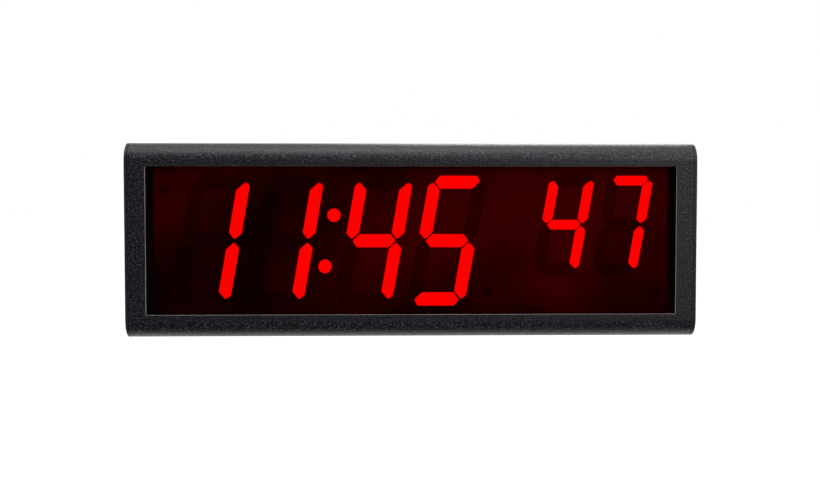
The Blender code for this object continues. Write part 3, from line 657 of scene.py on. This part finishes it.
COAT = textured_coat()
SMOOTH_COAT = smooth_coat()
CUT_METAL = cut_metal()
RED_SHEET = red_sheet()
LIT_GUIDE = lit_guide()
UNLIT_GUIDE = unlit_guide()
MASK_FACE = mask_face()
DEEP_SCREW = deep_screw()
BLACK_SCREW = metal("black_oxide", (0.02, 0.02, 0.022), (0.05, 0.05, 0.055), 0.4)
ZINC = metal("zinc_plate", (0.26, 0.26, 0.27), (0.42, 0.42, 0.44), 0.38)
TINNED = metal("tinned_steel", (0.36, 0.36, 0.36), (0.52, 0.52, 0.51), 0.32, 250, (1, 1, 8))
GOLD = metal("gold_plate", (0.8, 0.55, 0.2), (0.95, 0.7, 0.3), 0.2)
BLACK_PLASTIC = plastic("black_plastic", (0.01, 0.01, 0.011), (0.02, 0.02, 0.022), 0.5)
NYLON = plastic("nylon", (0.68, 0.66, 0.58), (0.78, 0.76, 0.69), 0.5)
RED_CAP = plastic("red_cap", (0.45, 0.02, 0.02), (0.55, 0.03, 0.03), 0.4)
DARK_BOARD = circuit_board("dark_board", (0.008, 0.012, 0.009), (0.016, 0.022, 0.017))
GREEN_BOARD = circuit_board("green_board", (0.01, 0.09, 0.03), (0.03, 0.17, 0.06))
LAMP_LOOKS = {
    "left": plastic("green_lamp", (0.03, 0.3, 0.06), (0.05, 0.4, 0.1), 0.25),
    "right": plastic("amber_lamp", (0.55, 0.3, 0.02), (0.7, 0.4, 0.04), 0.25),
}


# Front shell and end plates


def inner_wall(depth):
    """The height of the shell's inner surface above the middle, at a depth."""
    if depth >= SHELL_RADIUS:
        return INNER_HALF
    radius = SHELL_RADIUS - SHELL_WALL
    return HEIGHT / 2 - SHELL_RADIUS + math.sqrt(radius**2 - (SHELL_RADIUS - depth) ** 2)


def rib(front, tip):
    back = front + RIB_THICKNESS
    return [(back, inner_wall(back)), (back, tip), (front, tip), (front, inner_wall(front))]


def screw_channel(screw_node):
    """A C-shaped screw channel on a neck under the upper wall, around the axis of one of its screws."""
    low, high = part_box(screw_node)
    depth = (low.y + high.y) / 2 + DEPTH
    centre = (depth, (low.z + high.z) / 2)
    neck = CHANNEL_NECK / 2
    top = math.acos(neck / CHANNEL_RADIUS)
    outer_mouth = math.asin(CHANNEL_MOUTH / 2 / CHANNEL_RADIUS)
    inner_mouth = math.asin(CHANNEL_MOUTH / 2 / CHANNEL_HOLE_RADIUS)
    foot = -math.pi / 2
    rear_side = arc(centre, CHANNEL_RADIUS, top, foot + outer_mouth, ARC_STEPS)
    hole_turn = (foot + inner_mouth, foot - inner_mouth + 2 * math.pi)
    hole = arc(centre, CHANNEL_HOLE_RADIUS, *hole_turn, 2 * ARC_STEPS)
    front_side = arc(centre, CHANNEL_RADIUS, foot - outer_mouth, -math.pi - top, ARC_STEPS)
    start = (depth + neck, inner_wall(depth + neck))
    end = (depth - neck, inner_wall(depth - neck))
    return [start] + rear_side + hole + front_side + [end]


def shell_profile():
    """The shell's section, with depth along the first axis and height along the second."""
    bend_centre = (SHELL_RADIUS, HEIGHT / 2 - SHELL_RADIUS)
    outer_bend = arc(bend_centre, SHELL_RADIUS, math.pi, math.pi / 2, BEND_STEPS)
    lens_rib = LENS_BACK + GAP
    lip_tip = INNER_HALF - LIP_REACH
    upper = outer_bend + [(DEPTH, HEIGHT / 2), (DEPTH, INNER_HALF), (LIP_BACK, INNER_HALF)]
    upper += [(LIP_BACK, lip_tip), (LIP_FRONT, lip_tip), (LIP_FRONT, INNER_HALF)]
    upper += screw_channel("end_plate_screw_right_2")
    upper += screw_channel("end_plate_screw_right_1")
    upper += rib(BOARD_BACK + GAP, GROOVE_HALF)
    upper += rib(BOARD_FRONT - GAP - RIB_THICKNESS, GROOVE_HALF)
    upper += rib(lens_rib, GROOVE_HALF)
    radius = SHELL_RADIUS - SHELL_WALL
    bend_start = math.acos((lens_rib - SHELL_RADIUS) / radius)
    upper += arc(bend_centre, radius, bend_start, math.pi, BEND_STEPS)[1:]
    lower = [(depth, -height) for depth, height in reversed(upper)]
    return upper + lower


def mark_cut_faces(mesh):
    """Gives the second material to the faces where the window goes through the shell's front wall."""
    for face in mesh.polygons:
        centre, normal = face.center, face.normal
        through = centre.y < SHELL_WALL - DEPTH and abs(normal.y) < LEAN_LIMIT
        inside = abs(centre.x) < WINDOW_WIDTH / 2 + GAP and abs(centre.z) < WINDOW_HEIGHT / 2 + GAP
        face.material_index = int(through and inside)


def front_shell():
    mesh = extruded("shell", [shell_profile()], SHELL_LENGTH)
    mesh.transform(Matrix.Translation((0, -DEPTH, 0)) @ ALONG_X)
    window = block("window", (-WINDOW_WIDTH / 2, -DEPTH - OVERRUN, -WINDOW_HEIGHT / 2),
                   (WINDOW_WIDTH / 2, SHELL_WALL + OVERRUN - DEPTH, WINDOW_HEIGHT / 2))
    length = LIP_THICKNESS + 2 * OVERRUN
    radius = SCREW_SHANK_RADIUS + GAP
    drill = turned("drill", [(0, 0), (radius, 0), (radius, -length), (0, -length)], SCREW_STEPS)
    spots = [place.translation for place in screw_places("rear_cover_screw")]
    places = [Matrix.Translation((p.x, LIP_BACK + OVERRUN - DEPTH, p.z)) @ REAR for p in spots]
    mesh = drilled(mesh, drill, places, [window])
    mark_cut_faces(mesh)
    piece("front_shell_shape", mesh, [COAT, CUT_METAL], replaces=["front_shell"],
          edge=SHEET_EDGE, edge_look=0)


def plate_outline():
    top = HEIGHT / 2
    bend = arc((SHELL_RADIUS, top - SHELL_RADIUS), SHELL_RADIUS, math.pi, math.pi / 2, BEND_STEPS)
    upper = bend + [(DEPTH, top)]
    return upper + [(depth, -height) for depth, height in reversed(upper)]


def countersunk_profile(length, growth=0.0, cap=0.0):
    head = SCREW_HEAD_RADIUS + growth
    shank = SCREW_SHANK_RADIUS + growth
    rim = -SCREW_HEAD_RIM - growth / 2
    neck = rim - SCREW_HEAD_CONE
    return [(0, cap), (head, cap), (head, rim), (shank, neck), (shank, -length), (0, -length)]


def screw_drill(length):
    """The hole that a countersunk screw needs, as a solid to be cut out."""
    return turned("drill", countersunk_profile(length, GAP, OVERRUN), SCREW_STEPS)


def end_plates():
    drill = screw_drill(PLATE_THICKNESS + OVERRUN)
    for side, word in ((-1, "left"), (1, "right")):
        mesh = extruded("plate", [plate_outline()], PLATE_THICKNESS)
        mesh.transform(Matrix.Translation((side * (WIDTH - PLATE_THICKNESS) / 2, -DEPTH, 0)) @ ALONG_X)
        mesh = drilled(mesh, drill, screw_places(f"end_plate_screw_{word}"))
        piece(f"end_plate_{word}_shape", mesh, [SMOOTH_COAT],
              replaces=[f"end_plate_{word}"], edge=PLATE_EDGE)


# Screws


# Each set of screws that shows: how many there are, the axis that they lie along (0 for X, 1 for Y),
# the end of it that their heads are at (0 for low, 1 for high), how they stand, how far each is
# turned from the one before it, their look and their slot
SCREW_SETS = {
    "end_plate_screw_left": (4, 0, 0, LEFT, PLATE_SCREW_TURN, BLACK_SCREW, "black_screw"),
    "end_plate_screw_right": (4, 0, 1, RIGHT, PLATE_SCREW_TURN, BLACK_SCREW, "black_screw"),
    "rear_cover_screw": (6, 1, 1, REAR, COVER_SCREW_TURN, ZINC, "zinc_steel"),
    "mask_screw": (4, 1, 0, FRONT, MASK_SCREW_TURN, DEEP_SCREW, "black_screw"),
}


def screw_places(start):
    """The place of each screw of a set, with the middle of its head's face at the origin."""
    count, axis, end, stand = SCREW_SETS[start][:4]
    places = []
    for number in range(1, count + 1):
        node = f"{start}_{number}"
        middle = middle_of(node)
        middle[axis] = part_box(node)[end][axis]
        places.append(Matrix.Translation(middle) @ stand)
    return places


def screw_mesh(length):
    """A countersunk screw, its face at height 0, with a cross-shaped recess that narrows inwards."""
    arm, half, root = RECESS_SPAN / 2, RECESS_WIDTH / 2, RECESS_ROOT / 2
    quarter = [(half, arm), (-half, arm), (-root, root)]
    cross = quarter + [(-y, x) for x, y in quarter]
    cross += [(-x, -y) for x, y in cross]
    recess = extruded("recess", [cross], RECESS_DEPTH * 2)
    for vertex in recess.vertices:
        if vertex.co.z < 0:
            vertex.co.x *= RECESS_TAPER
            vertex.co.y *= RECESS_TAPER
    head = SCREW_HEAD_RADIUS
    edge = SCREW_HEAD_RIM / 2
    profile = countersunk_profile(length)
    profile[1:2] = [(head - edge, 0), (head, -edge)]
    return cut(turned("screw", profile, SCREW_STEPS), [recess])


def screws():
    """Each screw that shows, in place of the plainer one of the solids."""
    for start, (_, axis, _, _, turn, look, slot) in SCREW_SETS.items():
        mesh = screw_mesh(size_of(f"{start}_1")[axis])
        for number, place in enumerate(screw_places(start), 1):
            node = f"{start}_{number}"
            turned_place = place @ Matrix.Rotation(number * turn, 4, "Z")
            piece(f"{node}_shape", mesh, [look], turned_place, replaces=[node])


# Display


def web_frame(node):
    """A web's centre and the half width and half height that it has before it is slanted."""
    low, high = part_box(node)
    half = (high.z - low.z) / 2
    reach = (high.x - low.x) / 2 - half * math.tan(SLANT)
    return ((low.x + high.x) / 2, (low.z + high.z) / 2), reach, half


def digit_frame(name):
    """A digit's centre, half width and half height, from the web that its bars stand on."""
    centre, reach, half = web_frame(f"{name}_segments")
    return centre, reach - WEB_MARGIN, half - WEB_MARGIN


def segment_corners(name):
    """The seven segments of a digit, each as a list of corners."""
    centre, half_width, half_height = digit_frame(name)
    shapes = [TOP_BAR_SHARES, [(x, -y) for x, y in TOP_BAR_SHARES], MIDDLE_BAR_SHARES]
    for sx in (1, -1):
        for sy in (1, -1):
            shapes.append([(sx * x, sy * y) for x, y in SIDE_BAR_SHARES])
    return [slanted([(x * half_width, y * half_height) for x, y in shape], centre) for shape in shapes]


def colon_dots():
    centre = web_frame("colon_dots")[0]
    return slanted([(0, COLON_DOT_RISE), (0, -COLON_DOT_RISE)], centre)


def web_outline(node):
    centre, reach, half = web_frame(node)
    return slanted([(-reach, -half), (reach, -half), (reach, half), (-reach, half)], centre)


def light_guide(node, lit, unlit):
    """Bars that stand on a thin web, just behind the mask's face. Lit ones glow."""
    face = MASK_FRONT + GAP
    web_front = MASK_BACK + GAP
    web = extruded("web", [web_outline(node)], WEB_THICKNESS)
    shapes = [(web, facing(web_front + WEB_THICKNESS / 2), 0)]
    middle = facing((face + web_front) / 2)
    for outlines, number in ((lit, 1), (unlit, 0)):
        if outlines:
            shapes.append((extruded("bars", outlines, web_front - face), middle, number))
    piece(f"{node}_shape", gathered("guide", shapes), [UNLIT_GUIDE, LIT_GUIDE], replaces=[node],
          edge=MOULDED_EDGE)


def light_guides():
    for name, lit_names in LIT.items():
        bars = dict(zip(SEGMENT_ORDER, segment_corners(name)))
        lit, unlit = [], []
        for key, corners in bars.items():
            shape = filleted(grown(corners, -BAR_TRIM), SEGMENT_FILLET)
            (lit if key in lit_names else unlit).append(shape)
        light_guide(f"{name}_segments", lit, unlit)
    radius = COLON_DOT_RADIUS - 2 * BAR_TRIM
    light_guide("colon_dots", [circle(dot, radius) for dot in colon_dots()], [])


def display_mask():
    outlines = [rectangle((0, 0), MASK_HIGH.x - MASK_LOW.x, MASK_HIGH.z - MASK_LOW.z)]
    for name in LIT:
        for corners in segment_corners(name):
            outlines.append(filleted(grown(corners, GAP), SEGMENT_FILLET + GAP))
    outlines += [circle(dot, COLON_DOT_RADIUS + GAP) for dot in colon_dots()]
    mesh = extruded("mask", outlines, MASK_BACK - MASK_FRONT)
    mesh.transform(facing((MASK_FRONT + MASK_BACK) / 2))
    mesh = drilled(mesh, screw_drill(MASK_BACK - MASK_FRONT + OVERRUN), screw_places("mask_screw"))
    piece("display_mask_shape", mesh, [MASK_FACE], replaces=["display_mask"],
          edge=MOULDED_EDGE, segments=1)


# Rear cover


def keyhole(x):
    """A round entry with a slot above it, as one outline."""
    z = INNER_HALF - KEYHOLE_DROP
    half = KEYHOLE_SLOT_WIDTH / 2
    start = math.acos(half / KEYHOLE_RADIUS)
    entry = arc((x, z), KEYHOLE_RADIUS, math.pi - start, 2 * math.pi + start, 2 * ARC_STEPS)
    slot = arc((x, z + KEYHOLE_SLOT_RISE), half, 0, math.pi, ARC_STEPS)
    return entry + slot


def rear_cover():
    jack, jack_size = middle_of("network_jack"), JACK_HIGH - JACK_LOW
    outlines = [rectangle((0, 0), COVER_HIGH.x - COVER_LOW.x, COVER_HIGH.z - COVER_LOW.z)]
    outlines.append(rectangle((jack.x, jack.z), jack_size.x + 2 * GAP, jack_size.z + 2 * GAP))
    for name in ("setup", "reset"):
        middle = middle_of(f"{name}_button_cap")
        outlines.append(circle((middle.x, middle.z), CAP_RADIUS + GAP, SCREW_STEPS))
    outlines += [keyhole(x) for x in (-KEYHOLE_X, KEYHOLE_X)]
    lowest = VENT_RISE - INNER_HALF - (VENTS_PER_GROUP - 1) / 2 * VENT_PITCH
    for x in (-VENT_X, VENT_X):
        for row in range(VENTS_PER_GROUP):
            outlines.append(stadium((x, lowest + row * VENT_PITCH), VENT_LENGTH, VENT_WIDTH))
    thickness = DEPTH - COVER_FRONT
    mesh = extruded("cover", outlines, thickness)
    mesh.transform(facing((COVER_FRONT + DEPTH) / 2))
    mesh = drilled(mesh, screw_drill(thickness + 2 * GAP), screw_places("rear_cover_screw"))
    piece("rear_cover_shape", mesh, [COAT], replaces=["rear_cover"],
          edge=SHEET_EDGE)


# Jack and buttons


def network_jack():
    """A metal shield round a plastic socket with eight sprung contacts and two lamp windows."""
    centre = middle_of("network_jack")
    x, z = centre.x, centre.z
    width, reach, _ = size_of("network_jack")
    shield = block("shield", JACK_LOW, JACK_HIGH)
    wall = Vector((SHIELD_WALL, 0, SHIELD_WALL))
    room_low = JACK_LOW + wall + Vector((0, reach - MOUTH_DEPTH - SHIELD_WALL, 0))
    room = block("room", room_low, JACK_HIGH - wall + Vector((0, OVERRUN, 0)))
    piece("network_jack_shield", cut(shield, [room]), [TINNED], replaces=["network_jack"],
          edge=MOULDED_EDGE)
    back = JACK_HIGH.y - INSERT_SETBACK
    low = (JACK_LOW.x + SHIELD_WALL, room_low.y, JACK_LOW.z + SHIELD_WALL)
    high = (JACK_HIGH.x - SHIELD_WALL, back, JACK_HIGH.z - SHIELD_WALL)
    w, h, t = MOUTH_WIDTH / 2, MOUTH_HEIGHT / 2, LATCH_WIDTH / 2
    latch = h + LATCH_HEIGHT
    shape = [(-w, -h), (w, -h), (w, h), (t, h), (t, latch), (-t, latch), (-t, h), (-w, h)]
    mouth_length = MOUTH_DEPTH - SHIELD_WALL + OVERRUN
    mouth = extruded("mouth", [shape], mouth_length)
    mouth.transform(Matrix.Translation((x, JACK_HIGH.y + OVERRUN - mouth_length / 2, z)) @ FRONT)
    piece("network_jack_socket", cut(block("socket", low, high), [mouth]), [BLACK_PLASTIC],
          edge=MOULDED_EDGE)
    for number in range(CONTACT_COUNT):
        contact(number, x + (number - (CONTACT_COUNT - 1) / 2) * CONTACT_PITCH, back, z - h)
    for side, word in ((-1, "left"), (1, "right")):
        middle = x + side * (width - 2 * SHIELD_WALL - LAMP_WIDTH - 4 * LAMP_INSET) / 2
        top = high[2] - 2 * LAMP_INSET
        half = LAMP_WIDTH / 2
        window = block("lamp", (middle - half, back - LAMP_WIDTH, top - LAMP_HEIGHT + LAMP_INSET),
                       (middle + half, back + LAMP_INSET, top))
        piece(f"network_jack_lamp_{word}", window, [LAMP_LOOKS[word]], edge=MOULDED_EDGE)


def contact(number, x, back, foot):
    """A sprung wire that rises from the socket's floor as it goes in."""
    curve = bpy.data.curves.new("contact", "CURVE")
    curve.dimensions = "3D"
    curve.bevel_depth = CONTACT_RADIUS
    curve.bevel_resolution = CONTACT_STEPS
    curve.use_fill_caps = True
    spline = curve.splines.new("POLY")
    spline.points.add(len(CONTACT_BENDS) - 1)
    for point, (depth, rise) in zip(spline.points, CONTACT_BENDS):
        point.co = (x, back - depth, foot + rise, 1)
    wire = settled(linked("contact", curve))
    piece(f"network_jack_contact_{number + 1}", tidy(wire), [GOLD])


def button_cap(name):
    """A round cap with a dished face on its stem."""
    node = f"{name}_button_cap"
    reach = size_of(node)[1]
    rim = arc((CAP_RADIUS - CAP_EDGE, -CAP_EDGE), CAP_EDGE, math.pi / 2, 0, FILLET_STEPS)
    profile = [(0, -CAP_DISH), (DISH_BEND_RADIUS, -DISH_BEND_DEPTH)] + rim
    profile += [(CAP_RADIUS, -CAP_LENGTH), (STEM_RADIUS, -CAP_LENGTH)]
    profile += [(STEM_RADIUS, -reach), (0, -reach)]
    middle = middle_of(node)
    place = Matrix.Translation((middle.x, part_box(node)[1].y, middle.z)) @ REAR
    look = RED_CAP if name == "reset" else NYLON
    piece(f"{node}_shape", turned("cap", profile, SCREW_STEPS), [look], place, body=f"{name}_button",
          replaces=[node])


# Looks of the solids that stay, by how their names begin. The coin cell's is its holder's too

CARRIED = {
    "lens": RED_SHEET,
    "display_board": DARK_BOARD,
    "controller_board": GREEN_BOARD,
    "poe_transformer": BLACK_PLASTIC,
    "processor": BLACK_PLASTIC,
    "coin_cell": ZINC,
    "bulk_capacitor": BLACK_PLASTIC,
    "board_link_header": BLACK_PLASTIC,
    "board_standoff": NYLON,
    "board_screw": ZINC,
    "setup_switch_body": BLACK_PLASTIC,
    "reset_switch_body": BLACK_PLASTIC,
}


def dress_carried():
    for node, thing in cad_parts.items():
        for start, look in CARRIED.items():
            if node.startswith(start):
                for slot in thing.material_slots:
                    slot.material = look


# Stage

FLOOR_DROP = 0.5
FLOOR_SIZE = 40
FLOOR_COLOUR = (0.85, 0.85, 0.86)
FLOOR_GLOW = 0.6
ROOM_LEVEL = 0.55
FLAG_COLOUR = (0.01, 0.01, 0.012)
FLAG_DISTANCE = 1.9
FLAG_WIDTH = 10
FLAG_TOP = 2.0
FLAG_ABOVE_FLOOR = 0.02
CLIP_START = 0.01

# Each lamp's name, place, size and watts. They're all aimed at the middle of the clock's back
LAMPS = (
    ("over", (-0.1, -0.5, 1.7), 1.0, 16),
    ("front", (1.0, -1.4, 0.7), 0.9, 12),
    ("behind", (0.4, 1.4, 1.0), 0.9, 12),
)


def sheet(name, size, place, material):
    mesh = bpy.data.meshes.new(name)
    bm = bmesh.new()
    bmesh.ops.create_grid(bm, x_segments=1, y_segments=1, size=0.5)
    bmesh.ops.scale(bm, verts=bm.verts, vec=(*size, 1))
    bm.to_mesh(mesh)
    bm.free()
    mesh.materials.append(material)
    thing = linked(name, mesh)
    thing.matrix_world = place
    return thing


def seen_plainly(tree):
    """1 for camera, glossy and transmission rays and 0 for the rest."""
    path = tree.nodes.new("ShaderNodeLightPath")
    total = path.outputs["Is Camera Ray"]
    for name in ("Is Glossy Ray", "Is Transmission Ray"):
        most = tree.nodes.new("ShaderNodeMath")
        most.operation = "MAXIMUM"
        tree.links.new(total, most.inputs[0])
        tree.links.new(path.outputs[name], most.inputs[1])
        total = most.outputs["Value"]
    return total


def floor():
    look = Look("floor", FLOOR_COLOUR, 0.8)
    glow = look.node("ShaderNodeEmission")
    glow.inputs["Color"].default_value = (1, 1, 1, 1)
    strength = look.node("ShaderNodeMath", operation="MULTIPLY")
    strength.inputs[1].default_value = FLOOR_GLOW
    look.link(seen_plainly(look.tree), strength.inputs[0])
    look.link(strength.outputs["Value"], glow.inputs["Strength"])
    total = look.node("ShaderNodeAddShader")
    look.link(look.shader.outputs["BSDF"], total.inputs[0])
    look.link(glow.outputs["Emission"], total.inputs[1])
    look.link(total.outputs["Shader"], look.tree.nodes["Material Output"].inputs["Surface"])
    sheet("floor", (FLOOR_SIZE, FLOOR_SIZE), Matrix.Translation((0, 0, -FLOOR_DROP)), look.material)


def flags():
    """Dark cards behind and below the camera, for the face to reflect. Only reflections see them."""
    look = Look("flag", FLAG_COLOUR, 0.9)
    foot = FLAG_ABOVE_FLOOR - FLOOR_DROP
    tall = FLAG_TOP - foot
    wall = Matrix.Translation((0, -FLAG_DISTANCE, foot + tall / 2)) @ FRONT
    ground = Matrix.Translation((0, -FLAG_DISTANCE / 2, foot))
    cards = [sheet("flag_wall", (FLAG_WIDTH, tall), wall, look.material)]
    cards.append(sheet("flag_ground", (FLAG_WIDTH, FLAG_DISTANCE), ground, look.material))
    for card in cards:
        for part in ("camera", "diffuse", "shadow", "transmission", "volume_scatter"):
            setattr(card, f"visible_{part}", False)


def room():
    """A white room that lights the clock less than it shows."""
    world = bpy.data.worlds.new("room")
    bpy.context.scene.world = world
    world.use_nodes = True
    tree = world.node_tree
    lit = tree.nodes["Background"]
    lit.inputs["Color"].default_value = (1, 1, 1, 1)
    lit.inputs["Strength"].default_value = ROOM_LEVEL
    shown = tree.nodes.new("ShaderNodeBackground")
    shown.inputs["Color"].default_value = (1, 1, 1, 1)
    mix = tree.nodes.new("ShaderNodeMixShader")
    tree.links.new(seen_plainly(tree), mix.inputs[0])
    tree.links.new(lit.outputs["Background"], mix.inputs[1])
    tree.links.new(shown.outputs["Background"], mix.inputs[2])
    tree.links.new(mix.outputs["Shader"], tree.nodes["World Output"].inputs["Surface"])


def lamp(name, place, size, watts):
    light = bpy.data.lights.new(name, "AREA")
    light.shape = "DISK"
    light.size = size
    light.energy = watts
    thing = linked(name, light)
    aim = (-Vector(place)).to_track_quat("-Z", "Y")
    thing.matrix_world = Matrix.Translation(place) @ aim.to_matrix().to_4x4()


def camera():
    data = bpy.data.cameras.new("camera")
    data.lens = CAMERA_LENS
    data.clip_start = CLIP_START
    thing = linked("camera", data)
    turn = Matrix.Rotation(-CAMERA_YAW, 4, "Z") @ Matrix.Rotation(math.pi / 2 + CAMERA_PITCH, 4, "X")
    thing.matrix_world = Matrix.Translation(CAMERA_PLACE) @ turn
    bpy.context.scene.camera = thing


def stage():
    floor()
    flags()
    room()
    for values in LAMPS:
        lamp(*values)
    camera()
    bpy.context.scene.view_settings.view_transform = "Standard"


stage()
front_shell()
end_plates()
screws()
light_guides()
display_mask()
rear_cover()
network_jack()
button_cap("setup")
button_cap("reset")
dress_carried()
